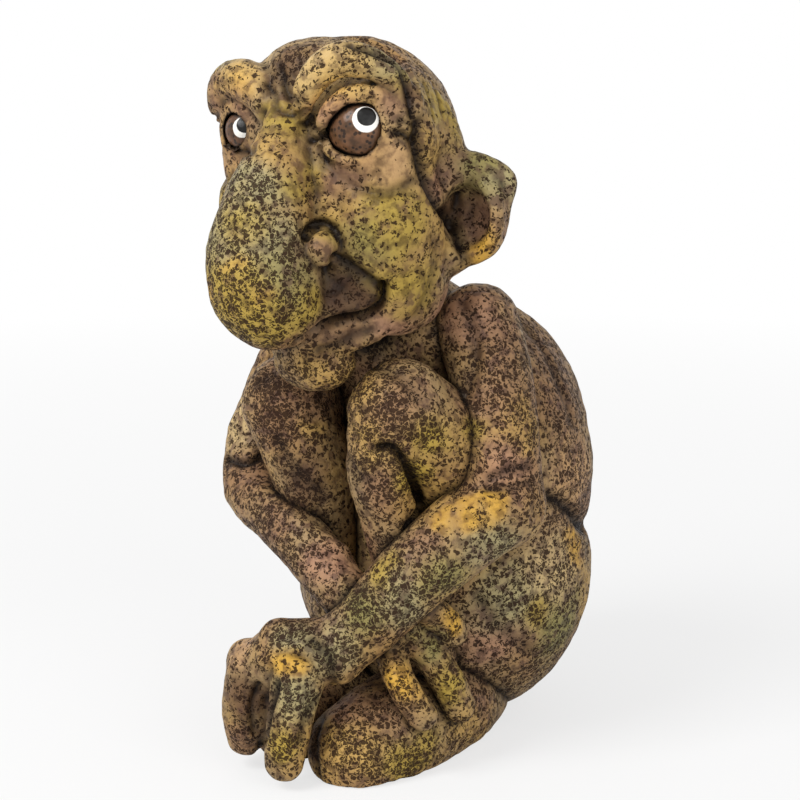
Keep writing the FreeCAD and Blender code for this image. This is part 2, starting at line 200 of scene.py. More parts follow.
def lattice(mass, step):
    """A mass's distance on a lattice. Each form is only worked out in the part that it reaches."""
    kept = [form for sign, soft, form in mass if sign > 0]
    low = np.min([form[0] for form in kept], axis=0) - 3 * step
    high = np.max([form[1] for form in kept], axis=0) + 3 * step
    count = np.ceil((high - low) / step).astype(int) + 1
    axes = [(low[k] + step * np.arange(count[k])).astype(np.float32) for k in range(3)]
    total = np.full(count, FAR, np.float32)
    for sign, soft, (near, far, distance) in mass:
        margin = soft + 2 + 2 * step
        first = np.clip(((near - margin - low) / step).astype(int), 0, count)
        last = np.clip(((far + margin - low) / step).astype(int) + 2, 0, count)
        if (last <= first).any():
            continue
        window = tuple(slice(a, b) for a, b in zip(first, last))
        places = np.stack(np.meshgrid(*[axes[k][window[k]] for k in range(3)], indexing="ij"), -1)
        away = distance(places)
        total[window] = melt(total[window], away, soft) if sign > 0 else -melt(-total[window], away, soft)
    return total, low


def skin(total, low, step):
    """A surface net: one point in each lattice cell that the surface crosses, at the mean of the crossings on
    its edges, and one four-sided face round each lattice edge that the surface crosses."""
    inside = total < 0
    cells = np.array(total.shape) - 1
    crossings, hits = np.zeros((*cells, 3), np.float32), np.zeros(cells, np.float32)
    for corner in np.ndindex(2, 2, 2):
        for axis in range(3):
            if corner[axis]:
                continue
            other = list(corner)
            other[axis] = 1
            one, two = (total[tuple(slice(c, c + n) for c, n in zip(k, cells))] for k in (corner, other))
            crosses = (one < 0) != (two < 0)
            share = np.where(crosses, one / np.where(crosses, one - two, 1), 0)
            for k in range(3):
                crossings[..., k] += crosses * (corner[k] + (share if k == axis else 0))
            hits += crosses
    used = hits > 0
    number = np.full(cells, -1)
    number[used] = np.arange(used.sum())
    points = (np.argwhere(used) + crossings[used] / hits[used][:, None]) * step + low
    faces = []
    for axis in range(3):
        others = [k for k in range(3) if k != axis]
        one = inside[tuple(slice(0 if k == axis else 1, cells[k]) for k in range(3))]
        two = inside[tuple(slice(1, cells[k] + (k == axis)) for k in range(3))]
        where = np.argwhere(one != two)
        going_out = one[one != two]
        for k in others:
            where[:, k] += 1
        ring = []
        for a, b in ((1, 1), (0, 1), (0, 0), (1, 0)):
            cell = where.copy()
            cell[:, others[0]] -= a
            cell[:, others[1]] -= b
            ring.append(number[tuple(cell.T)])
        ring = np.stack(ring, -1)
        keep = going_out if axis != 1 else ~going_out
        ring[~keep] = ring[~keep][:, ::-1]
        faces.append(ring)
    return points, np.concatenate(faces)


ball = [(1, 0, egg((0, 0, 0), (4, 4, 4)))]
points, faces = skin(*lattice(ball, 0.5), 0.5)
print("a test ball of radius 4 has", len(faces), "faces and a mean radius of",
      np.linalg.norm(points - SHIFT, axis=1).mean().round(2))

# %% [markdown]
# ## The head
# A round skull carries a lower, wider forehead, a long nose that swells to a bulb, heavy cheeks and jowls,
# two brow rolls, lids, lips, a ball of a chin and ears. Each is an egg or a roll with a sign, below nought
# where clay is taken away, and with how softly it melts into what is there already. A small softness keeps
# a sharp valley for dark paint.

# %% Eye places
EYES = {"left": np.array([15.6, -33.2, 146.2]), "right": np.array([-17.9, -33.0, 144.5])}
EYE_RADII = {"left": 6.2, "right": 4.3}
EYE_GAP = 0.4
LOOK = {"left": (34, 5), "right": (-6, 5)}


def eye_axes(side):
    """Across, up and out of an eye's opening, from the two angles that it looks along."""
    turn, rise = np.radians(LOOK[side])
    out = np.array([math.sin(turn) * math.cos(rise), -math.cos(turn) * math.cos(rise), math.sin(rise)])
    across = np.array([-out[1], out[0], 0]) / math.hypot(out[0], out[1])
    return (across if side == "left" else -across), np.array([0, 0, 1.0]), out


def by_eye(side, *points):
    """Places round an eye from across (away from the nose), up, out and thick, at the left eye's size."""
    axes, size = np.array(eye_axes(side)), EYE_RADII[side] / EYE_RADII["left"]
    return [(*(EYES[side] + size * np.array(point[:3]) @ axes), size * point[3]) for point in points]


# The ball is larger than the opening and sunk, so that its front stays in place and the lids lie over it.
BALL_SHARE = 1.16
BALL_RADII = {side: BALL_SHARE * radius for side, radius in EYE_RADII.items()}
BALLS = {side: EYES[side] - (BALL_RADII[side] - EYE_RADII[side]) * eye_axes(side)[2] for side in EYES}
print("left eye looks along", eye_axes("left")[2].round(2), "with across", eye_axes("left")[0].round(2))

# %% The head's masses
HEAD = [
    (1, 0, egg((0, -10.3, 138.6), (20.5, 20, 25))),
    (1, 6, egg((-0.5, -19.5, 148.5), (19.3, 16.5, 16.1))),
    (1, 4, egg((-4, -27, 156.3), (12, 9, 8.2))),
    (1, 5, egg((0, -8, 106), (13, 13, 14))),
    (1, 4, egg((0, -23, 123), (14, 13, 22))),
]
HEAD += both(1, 2.5, egg, (16.5, -25, 127), (12, 13.5, 15))
HEAD += both(1, 5, egg, (15, -21, 113.5), (11.5, 13.5, 13.5))
TEMPLE = ((18, -20, 154, 4.6), (21.5, -16, 145, 5.8), (22, -13, 134, 6.4), (21, -12, 120, 7.8))
HEAD += both(1, 1.6, roll, *TEMPLE)
HEAD += both(1, 5, egg, (16.5, -26.5, 145), (12.5, 9.5, 13.5))
NOSE_SIDE = ((7.5, -33.5, 147, 4), (8.2, -33.8, 138, 5), (9.5, -34.6, 128, 4.8), (11, -35, 119, 4.2))
HEAD += both(1, 3, roll, *NOSE_SIDE)
SOCKET_DEPTH, SOCKET = 4.4, np.array([9.5, 9.5, 10.5])
for side in ("left", "right"):
    size = EYE_RADII[side] / EYE_RADII["left"]
    HEAD.append((1, 4, egg(EYES[side] - SOCKET_DEPTH * size * eye_axes(side)[2], size * SOCKET)))
NOSE = ((-3.3, -35.3, 152, 3.8), (-1.6, -38.5, 143, 5.9), (-1.6, -42, 132.5, 9.5), (-2.4, -45, 121, 11.8),
        (-0.8, -46.2, 113, 12.5), (0, -45, 110, 11.6))
HEAD.append((1, 2, roll(*NOSE)))
HEAD += both(1, 0.8, egg, (11.4, -41, 121), (3.1, 4.4, 3.9))
HEAD += [
    (1, 3, egg((0, -30.5, 112), (15.5, 9.5, 8.5))),
    (1, 2.5, egg((0, -32, 107), (16.5, 10.5, 8.2))),
    (1, 1.2, roll((-14, -28, 102, 4), (0, -37, 99.5, 4.6), (12, -32, 101.5, 3.8), (17, -27, 104, 2.8))),
    (1, 2, egg((2, -33, 94.3), (9.8, 8, 6.4))),
]
print("head forms", len(HEAD))

# %% Brows and lids
LEFT_BROW = by_eye("left", (-13, 3.4, -2, 1.8), (-12, 6.5, 1.2, 2.8), (-9, 11.2, 3.0, 3.5),
                   (-4.3, 14.2, 3.5, 3.8), (1.1, 13.8, 3.2, 3.6), (5.9, 11.3, 2.2, 3.0), (9.2, 7.2, 0.8, 2.3),
                   (11, 1.5, -1.2, 1.6))
RIGHT_BROW = ((-26.6, -29, 147, 3.4), (-25.3, -31, 151.2, 4.4), (-22.3, -32.3, 154.4, 4.8),
              (-16.2, -34.3, 155.3, 4.8), (-10.2, -36, 152.8, 4.2), (-6.8, -36.6, 148.5, 3.0))
UPPER_LID = [(-9.4, -2.2, 0.4, 0.9), (-7.4, 2.6, 2.8, 1.7), (-3.8, 6.2, 3.6, 1.9), (0.2, 7.2, 3.8, 1.9),
             (4.2, 6.5, 3.5, 1.8), (7.6, 3.8, 2.4, 1.5), (9.8, -0.6, 0.4, 1.0)]
LOWER_LID = [(-9.4, -2.6, 0.4, 0.8), (-6.7, -5.2, 2.4, 1.2), (-2.8, -6.9, 3.2, 1.3), (1.1, -7.1, 3.3, 1.3),
             (5, -6.0, 2.9, 1.2), (8, -3.8, 1.8, 1.1), (9.9, -1.0, 0.4, 0.8)]
EYE_BAG = [(-7.2, -9.2, -0.5, 2.4), (-2, -11.2, 0.6, 3.0), (4, -11.4, 0.2, 3.0), (9.5, -8.6, -1.8, 2.4)]
LIDS = {}
for side, brow in (("left", LEFT_BROW), ("right", RIGHT_BROW)):
    HEAD.append((1, 1.6, roll(*by_eye(side, *EYE_BAG))))
    HEAD.append((-1, 0.6, egg(BALLS[side], (BALL_RADII[side] + EYE_GAP,) * 3)))
    HEAD.append((1, 1.2, roll(*brow)))
    LIDS[side] = [(1, 0.6, roll(*by_eye(side, *line))) for line in (LOWER_LID, UPPER_LID)]
    HEAD += LIDS[side]
print("with brows and lids", len(HEAD))

# %% Ears
HEAD += both(1, 2.5, egg, (29, -9.5, 127), (8.2, 4.2, 10), (0, 0, -14))
EAR_RIM = ((21, -14, 136, 4.5), (28.5, -11, 137.5, 3.3), (35.4, -7.2, 135, 1.8), (34.2, -7, 128.5, 2),
           (33, -7.2, 123.5, 2.2), (31, -8.5, 120, 2.6), (26.5, -12, 117.8, 3.2))
HEAD += both(1, 1.5, roll, *EAR_RIM)
HEAD += both(-1, 1.4, egg, (29.3, -14.2, 126.5), (5.4, 5.2, 7.4), (0, 0, -14))
print("head forms in all", len(HEAD))

# %% [markdown]
# ## The body and limbs
# The trunk is two eggs with one girth, and a third for the shoulders. The legs fold up in front of it and
# the arms wrap round them, so limbs lie on limbs with a sharp valley between. Each limb is a mass of its
# own, because melting them together would fill the valleys that the paint darkens.

# %% Trunk, legs and feet
TRUNK = [
    (1, 0, egg((0, 17.3, 37), (37.5, 34, 39))),
    (1, 3, egg((0, 17.3, 61), (37.5, 34, 43))),
    (1, 8, egg((0, 0, 96.5), (23, 16, 15))),
]
LEFT_LEG = [
    (1, 0, roll((18.5, -23.5, 83.5, 11.8), (20.5, -12, 73, 13), (19, 8, 50, 13))),
    (1, 1, roll((17.5, -25, 81, 10.5), (16.3, -27, 70, 8), (16.5, -24, 57, 6.5), (16, -17, 40, 7),
                (15, -11, 22, 8.5))),
]
RIGHT_LEG = [
    (1, 0, roll((-15.5, -22, 81.5, 10.6), (-19, -10, 72, 12.5), (-23, 8, 48, 16))),
    (1, 3, roll((-15, -22.5, 80, 10.2), (-9.5, -21, 66, 10), (-8, -19, 54, 8), (-7, -15, 40, 7),
                (-8, -11, 22, 8.5))),
]
LEFT_FOOT = [(1, 0, roll((12.5, -31.5, 5, 11.5), (15, -20, 8, 13), (15.5, -4, 9, 12.5), (14.5, 8, 8, 10)))]
RIGHT_FOOT = [(1, 0, roll((-8, -29, 5, 10), (-10, -18, 8, 12), (-12, -4, 9, 12), (-13, 8, 8, 10)))]
print("trunk", len(TRUNK), "legs", len(LEFT_LEG) + len(RIGHT_LEG))

# %% Arms and hands
LEFT_ARM = [
    (1, 0, roll((23.5, -1.5, 100.5, 9.6), (30, -4.5, 87, 9.5), (34, -7.5, 72, 9.5), (36, -8.5, 62, 9.3))),
    (1, 2.5, roll((36, -9, 62, 9.3), (31, -18.5, 56, 9.3), (24, -27, 47, 8.6), (16.5, -33, 36.5, 7.6),
                  (10.5, -38, 30, 7.4))),
    (1, 1.5, roll((10.5, -38, 30, 7.4), (2, -42.5, 29, 7.6), (-6, -44, 24, 6.5))),
    (1, 2, egg((0, -44, 33), (4, 4, 4))),
    (1, 2, egg((-10, -44, 25.5), (4.6, 4.6, 4.6))),
    (1, 1, roll((-7.4, -46, 23.4, 5.4), (-7.6, -46.6, 15.6, 5.8), (-9.2, -45, 8, 5))),
    (1, 1, roll((7.4, -46, 25.5, 5.8), (6.2, -48.6, 13.1, 5.2), (5.9, -49.4, 6.1, 4.3))),
    (1, 1, egg((-1, -43.5, 16.5), (7, 3.5, 9.5))),
]
RIGHT_ARM = [
    (1, 0, roll((-24, -1, 97, 9.3), (-29.5, -6, 84, 8.8), (-33, -13, 70, 7.6))),
    (1, 2, roll((-33, -14, 66, 7.8), (-27, -22, 58.5, 7.2), (-13.7, -27, 54, 6.6), (-3.5, -30, 50, 6.6),
                (7, -31, 42.5, 6.2), (13, -30, 37, 5.6), (18, -27, 33, 4.6))),
    (1, 1, roll((17, -27, 31, 3.4), (24, -29.6, 22.5, 3.5), (27.5, -27, 15.5, 3.4))),
    (1, 1, roll((20, -24, 35, 3.8), (27, -19.1, 23.5, 4), (29, -15.2, 14.6, 3.9))),
    (1, 1, roll((25, -24, 39.9, 3.6), (27, -18, 35.1, 3.6), (28, -16.7, 32.6, 3.6))),
]
print("arm forms", len(LEFT_ARM) + len(RIGHT_ARM))

# %% [markdown]
# ## From clay to mesh
# Each mass gets a lattice fine enough for its smallest fold, and a flat cut at the floor gives the figure its
# base. A round of settling takes away the small steps that the lattice leaves.

# %% Mesh helpers


def flat_base(total, low, step):
    """Cut a lattice flat: the distance is at least the depth below the floor."""
    heights = low[2] + step * np.arange(total.shape[2])
    return np.maximum(total, -heights[None, None, :].astype(np.float32))


def settle(points, faces, rounds, share=0.5):
    """Even out small steps: each round moves every point a share of the way to the mean of its neighbours."""
    ends = np.concatenate([faces[:, [k, (k + 1) % 4]] for k in range(4)])
    count = np.bincount(ends[:, 0], minlength=len(points)).astype(float)[:, None]
    for _ in range(rounds):
        near = points[ends[:, 1]]
        mean = np.stack([np.bincount(ends[:, 0], near[:, k], len(points)) for k in range(3)], -1) / count
        points = points + share * (mean - points)
    return points


def facing(points, faces):
    """The outward unit direction at each point: its faces' diagonals, crossed and summed."""
    a, b, c, d = (points[faces[:, k]] for k in range(4))
    square = np.repeat(np.cross(c - a, d - b), 4, axis=0)
    total = np.stack([np.bincount(faces.ravel(), square[:, k], len(points)) for k in range(3)], -1)
    return total / np.maximum(np.linalg.norm(total, axis=1, keepdims=True), 1e-9)


print("the test ball faces outward by", (facing(points, faces) * (points - SHIFT)).sum(1).min().round(2))

# %% The masses and their meshes
# Each mass with its lattice's step.
MASSES = {
    "head": (HEAD, 0.55),
    "trunk": (TRUNK, 0.9),
    "left_leg": (LEFT_LEG, 0.7),
    "right_leg": (RIGHT_LEG, 0.7),
    "left_foot": (LEFT_FOOT, 0.7),
    "right_foot": (RIGHT_FOOT, 0.8),
    "left_arm": (LEFT_ARM, 0.6),
    "right_arm": (RIGHT_ARM, 0.6),
}
CLAY, FIELDS = {}, {}
for name, (mass, step) in MASSES.items():
    total, low = lattice(mass, step)
    FIELDS[name] = (total, low, step)
    points, faces = skin(flat_base(total, low, step), low, step)
    CLAY[name] = (settle(points, faces, 2), faces)
    print(name, len(points), "points")

# %% [markdown]
# ## Tool marks
# Folds, wrinkles and the mouth were pressed into the soft clay with a round-ended tool. Each mark here is a
# line of pixels in the photograph, laid on the clay by rays, and the skin is pushed in along it. The first
# list of marks on the head is repeated on its hidden side, mirrored. A sculpt brush would do the same by
# hand, but its strokes couldn't be read.

# %% Laying lines on the clay
# How far from the camera rays start and give up, before and behind the figure, and their number of steps.
RAY_START, RAY_END, RAY_STEPS = 300.0, 650.0, 80
# After so many steps the lattice of random heights repeats.
REPEAT = 64


def onto(mass, places, rounds=6, gap=0.2):
    """Move places onto the surface: each round goes back by the distance, along its slope."""
    for _ in range(rounds):
        slope = np.stack([clay_distance(mass, places + one) - clay_distance(mass, places - one)
                          for one in gap * np.eye(3)], -1)
        slope /= np.maximum(np.linalg.norm(slope, axis=1, keepdims=True), 1e-6)
        places = places - clay_distance(mass, places)[:, None] * slope
    return places


def cast(mass, pixels):
    """Where rays through pixels meet a mass. Each walks on by most of the free distance, and one that misses
    keeps its nearest place."""
    way = rays(pixels)
    gone = np.full(len(way), RAY_START)
    kept, least = gone, np.full(len(way), 1e9)
    for _ in range(RAY_STEPS):
        free = clay_distance(mass, CAMERA_AT + gone[:, None] * way)
        nearer = np.abs(free) < least
        kept, least = np.where(nearer, gone, kept), np.where(nearer, np.abs(free), least)
        gone = np.minimum(gone + np.clip(0.9 * free, -2, 25), RAY_END)
    return onto(mass, CAMERA_AT + kept[:, None] * way)


def mirrored(places):
    """Places across the figure's middle plane, which the shift has moved with the clay."""
    return places * [-1, 1, 1] + [2 * SHIFT[0], 0, 0]


def lumps(places, size, seed):
    """Smooth random heights from -1 to 1: random numbers on a lattice of the size, blended by 3 t^2 - 2 t^3."""
    heights = np.random.default_rng(seed).uniform(-1, 1, (REPEAT,) * 3).astype(np.float32)
    at = places / size + 10 * REPEAT
    whole = np.floor(at).astype(int)
    t = at - whole
    t = t * t * (3 - 2 * t)
    total = np.zeros(len(places))
    for corner in np.ndindex(2, 2, 2):
        weight = np.where(corner, t, 1 - t).prod(-1)
        total += weight * heights[tuple(((whole + corner) % REPEAT).T)]
    return total


print("the ray through the bulb of the nose meets it at", cast(HEAD, [(267, 284)])[0].round(1) - SHIFT)

# %% The marks
# Each mark: how deep and how wide it is in millimetres, and its pixels. A ridge has a depth below nought.
HEAD_MARKS = {
    "temple": (2.0, 1.3, (418, 122), (417, 150), (425, 176), (438, 204), (453, 226)),
    "under the bag": (0.8, 1.2, (325, 159), (334, 172), (351, 185), (377, 193), (397, 191), (415, 180)),
    "beside the nose": (0.7, 1.0, (311, 116), (317, 141), (323, 168)),
    "over the nostril": (1.3, 0.9, (305, 236), (311, 227), (322, 223), (333, 228)),
    "round the nostril": (0.7, 0.8, (336, 232), (342, 246), (338, 260), (326, 268)),
    "lip fold": (1.6, 1.4, (336, 258), (346, 264), (362, 276), (380, 288)),
    "mouth": (3.4, 1.1, (383, 288), (381, 304), (368, 315), (345, 319), (329, 324), (314, 331), (300, 340)),
    "under the lip": (1.0, 1.2, (318, 350), (338, 344), (354, 336), (372, 330)),
    "jowl": (0.7, 1.4, (433, 237), (436, 258), (429, 291), (416, 317)),
    "crow's foot top": (0.7, 0.6, (399, 121), (412, 124)),
    "crow's foot middle": (0.8, 0.6, (400, 131), (414, 136)),
    "crow's foot bottom": (0.7, 0.6, (399, 141), (412, 149)),
    "forehead line": (0.5, 0.5, (424, 84), (430, 100), (434, 118)),
    "next forehead line": (0.5, 0.5, (433, 84), (439, 98), (443, 114)),
    "ear root": (1.0, 1.2, (458, 196), (455, 215), (458, 240), (466, 262)),
}
# Marks that the head has only where the photograph shows them.
FRONT_MARKS = {
    "behind the brow": (1.3, 0.8, (350, 44), (381, 55), (399, 66), (406, 85), (412, 115)),
    "rim behind it": (-0.7, 0.9, (345, 38), (372, 43), (393, 53), (409, 70), (418, 92), (420, 120)),
    "inner corner": (1.6, 0.8, (312, 140), (321, 137), (330, 132)),
    "outer corner": (1.6, 0.8, (395, 133), (404, 136), (413, 142)),
    "frown": (1.0, 0.9, (281, 70), (286, 88), (296, 104)),
    "second frown": (0.8, 0.8, (268, 84), (274, 96), (276, 108)),
    "across the bridge": (0.7, 0.7, (281, 112), (294, 115), (306, 110)),
    "right bag": (1.0, 1.0, (226, 143), (238, 152), (252, 151)),
}
BODY_MARKS = {
    "trunk": {
        "hip fold": (1.5, 1.3, (540, 494), (564, 506), (578, 521), (594, 534)),
        "upper back": (0.8, 1.6, (528, 330), (545, 352), (560, 384), (572, 420)),
        "above the foot": (0.8, 1.5, (480, 600), (500, 628), (530, 650)),
    },
    "left_leg": {
        "knee pit": (2.6, 0.9, (378, 448), (392, 449), (406, 464), (416, 490), (418, 512), (408, 528)),
        "over the shin": (0.8, 1.5, (336, 420), (344, 452), (360, 480)),
        "knee": (0.7, 1.4, (345, 372), (372, 366), (400, 376), (418, 398)),
    },
    "right_leg": {
        "knee": (0.8, 1.3, (262, 380), (282, 372), (304, 378)),
        "shin": (0.9, 1.4, (276, 440), (296, 470), (322, 492)),
    },
    "left_arm": {
        "front of the shoulder": (1.0, 1.6, (462, 302), (474, 330), (476, 360), (466, 392)),
        "elbow": (0.8, 1.0, (490, 478), (510, 470), (530, 466)),
        "second elbow crease": (0.6, 0.9, (486, 490), (508, 488), (530, 482)),
        "muscle": (-0.9, 2.6, (486, 350), (500, 390), (506, 430)),
        "forearm muscle": (-0.7, 2.6, (498, 512), (462, 548), (420, 590)),
        "wrist": (1.0, 1.1, (312, 640), (330, 660), (334, 688)),
        "thumb tendon": (-1.0, 1.4, (262, 660), (285, 662), (310, 668)),
        "between the fingers": (1.4, 1.2, (276, 684), (268, 716), (262, 752)),
        "second finger fold": (0.9, 0.8, (258, 684), (252, 706), (254, 732)),
        "palm edge": (0.8, 1.0, (318, 700), (306, 716), (301, 740)),
    },
    "right_arm": {
        "elbow": (1.4, 1.0, (226, 459), (244, 463), (262, 456)),
        "muscle": (-0.8, 2.2, (262, 492), (300, 520), (344, 550)),
    },
    "left_foot": {
        "big toe": (0.9, 1.0, (322, 716), (314, 744), (318, 776)),
    },
}
SINK = {name: np.zeros(len(points)) for name, (points, faces) in CLAY.items()}
# How dark each point is in the tool marks' grooves: dark wash and painted shade.
MARK_WASH_AND_SHADE = {name: np.zeros(len(points)) for name, (points, faces) in CLAY.items()}


def press(name, depth, width, line):
    """Push the skin in along a line: the depth dies away as a bell curve of the distance over the width. Dark
    wash and painted shade go in it, the more the steeper it is, and die away as the square root of that curve."""
    points = CLAY[name][0]
    near = np.flatnonzero(((points > line.min(0) - 3 * width) & (points < line.max(0) + 3 * width)).all(1))
    bell = np.exp(-((chain_distance(points[near], np.c_[line, np.zeros(len(line))]) / width) ** 2))
    SINK[name][near] += depth * bell
    # The groove's darkening is dark wash and painted shade.
    wash_and_shade = np.clip(0.85 * depth / max(width, 1.0), 0, 1)
    MARK_WASH_AND_SHADE[name][near] = np.maximum(MARK_WASH_AND_SHADE[name][near], wash_and_shade * np.sqrt(bell))


for marks, repeated in ((HEAD_MARKS, True), (FRONT_MARKS, False)):
    for depth, width, *pixels in marks.values():
        line = cast(HEAD, smooth_line(pixels, MARK_STEPS))
        press("head", depth, width, line)
        if repeated:
            press("head", depth, width, onto(HEAD, mirrored(line)))
for name, marks in BODY_MARKS.items():
    for depth, width, *pixels in marks.values():
        press(name, depth, width, cast(MASSES[name][0], smooth_line(pixels, MARK_STEPS)))
print("marks", len(HEAD_MARKS) + len(FRONT_MARKS) + sum(len(marks) for marks in BODY_MARKS.values()))

# %% Marks where the photograph doesn't reach
# These lines are given by places: a spine between two shoulder blades, and a fold at each hip.
BACK_MARKS = {
    "spine": (1.2, 4.5, (0, 26, 103), (1, 44, 88), (-1, 52, 66), (0, 52, 48)),
    "left blade": (-1.4, 5.5, (12, 26, 98), (20, 36, 84), (18, 44, 72)),
    "right blade": (-1.4, 5.5, (-12, 26, 98), (-20, 36, 84), (-18, 44, 72)),
    "waist": (1.2, 2.2, (-38, 18, 52), (-28, 38, 49), (-14, 48, 43), (-4, 50, 40)),
    "low waist": (1.2, 2.2, (36, 24, 50), (26, 40, 46), (12, 49, 41), (4, 50, 40)),
}
for depth, width, *places in BACK_MARKS.values():
    press("trunk", depth, width, onto(TRUNK, smooth_line(places, MARK_STEPS) + SHIFT))
print("marks on the back", len(BACK_MARKS))

# %% [markdown]
# ## Lumps, creases and edges
# Hand-worked clay is never even, so low random lumps of three sizes are added along the skin's own direction.
# The paint needs to know two more things: how deep each place lies in a crease, where the dark wash stays
# and painted shade goes, and how much it stands out, where a dry brush leaves pale paint. Both come from
# comparing the skin with a smoothed copy. The wash and painted shade also go where two masses touch, and
# round the eyeballs.

# %% Pushing and measuring
# Each size of lump and how high it stands, in millimetres.
LUMPS = ((8.0, 0.18), (3.6, 0.15), (1.7, 0.12))
# How often the skin is settled for the smoothed copy, and how far below or above that copy it is fully dark
# or fully proud.
SMOOTH_ROUNDS, CREASE_DEPTH, PROUD_HEIGHT = 25, 0.55, 0.4
# How near another mass, an eyeball and a lid the wash and painted shade begin, and over which width they darken
# at an eye.
MASS_REACH, BALL_REACH, LID_REACH, WASH_AND_SHADE_WIDTH = 2.6, 1.1, 1.0, 0.5


def field_at(name, places):
    """The distance to a mass at free places, read from the nearest corner of its lattice."""
    total, low, step = FIELDS[name]
    corner = np.rint((places - low) / step).astype(int)
    inside = ((corner >= 0) & (corner < total.shape)).all(1)
    away = np.full(len(places), FAR)
    away[inside] = total[tuple(corner[inside].T)]
    return away


SHADE, EDGE = {}, {}
box_low, box_high = (np.array(corner) * 1000 for corner in CAD_BOX)
for name, (points, faces) in CLAY.items():
    bumps = sum(height * lumps(points, size, seed) for seed, (size, height) in enumerate(LUMPS))
    points = points + facing(points, faces) * (bumps - SINK[name])[:, None]
    points = np.clip(points, box_low, box_high)
    normals = facing(points, faces)
    rise = ((points - settle(points, faces, SMOOTH_ROUNDS)) * normals).sum(1)
    # Where another mass is near, and deep in a crease, the skin darkens: dark wash and painted shade.
    crowd = np.min([field_at(other, points) for other in CLAY if other != name], axis=0)
    wash_and_shade_between_masses = np.clip(1 - crowd / MASS_REACH, 0, 1) ** 1.5
    sunk = np.clip(-rise / CREASE_DEPTH, 0, 1)
    SHADE[name] = np.clip(np.max([MARK_WASH_AND_SHADE[name], wash_and_shade_between_masses, sunk], axis=0), 0, 1)
    EDGE[name] = np.clip(rise / PROUD_HEIGHT, 0, 1)
    # Round the eyeballs the socket and lids darken: dark wash and painted shade where they meet the ball.
    if name == "head":
        for side, place in BALLS.items():
            gap = np.linalg.norm(points - place - SHIFT, axis=1) - BALL_RADII[side]
            SHADE[name] = np.maximum(SHADE[name], np.clip((BALL_REACH - gap) / WASH_AND_SHADE_WIDTH, 0, 1))
    CLAY[name] = (points, faces)
    print(name, "creased", round(float(SHADE[name].mean()), 2), "edged", round(float(EDGE[name].mean()), 2))

# %% [markdown]
# ## Where each colour went
# The painter dabbed ochre, olive, mustard and bright yellow over a pinkish brown. A dab here is a pixel, a
# reach in pixels, a colour and how pitted the paint is there, laid on the clay as the marks were. Every
# point of the skin takes the mean of the dabs near it. A few wide dabs are enough, because the speckle
# comes from the material.

# %% Colours and dabs
COLOURS = {
    "ochre": "A08450", "mustard": "96823C", "gold": "B8923E", "olive": "78744A", "grey": "8E886A",
    "pink": "967462", "brown": "80644E", "umber": "523C2E", "sand": "B4A07A", "tan": "A88868",
    "wash": "38221A",
}


def linear(code):
    """A colour code as linear light: ((c + 0.055) / 1.055) ^ 2.4 for all but the darkest values."""
    levels = np.array([int(code[k:k + 2], 16) for k in (0, 2, 4)]) / 255
    return np.where(levels <= 0.04045, levels / 12.92, ((levels + 0.055) / 1.055) ** 2.4)


